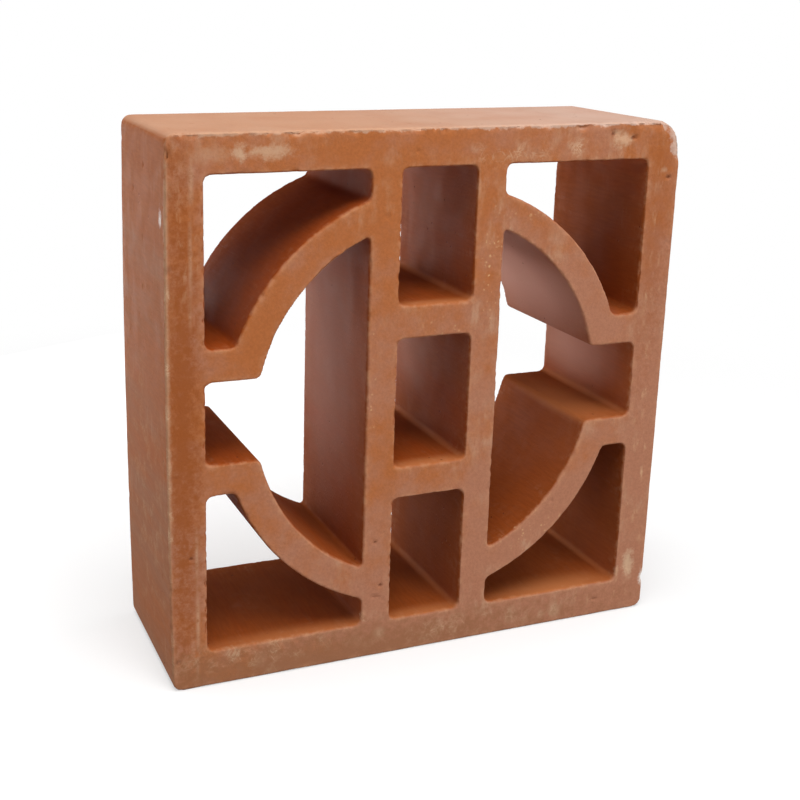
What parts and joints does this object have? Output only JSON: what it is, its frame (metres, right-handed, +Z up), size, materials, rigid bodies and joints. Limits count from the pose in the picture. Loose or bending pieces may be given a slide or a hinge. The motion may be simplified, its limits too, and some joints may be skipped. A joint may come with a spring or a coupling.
{
  "type": "terracotta breeze block",
  "caption": "Square extruded clay ventilation block with an open ring, a central column and through cells between them.",
  "frame": {"origin": "middle of the bottom bed face, on which the block stands", "axes": "+X across the face to the right seen from the front, +Y from the front face to the back along the through cells, +Z up"},
  "size_m": [0.2, 0.065, 0.2],
  "materials": {
    "terracotta": "matt unglazed fired clay"
  },
  "bodies": {
    "root": {"breeze_block": "terracotta"}
  },
  "joints": []
}
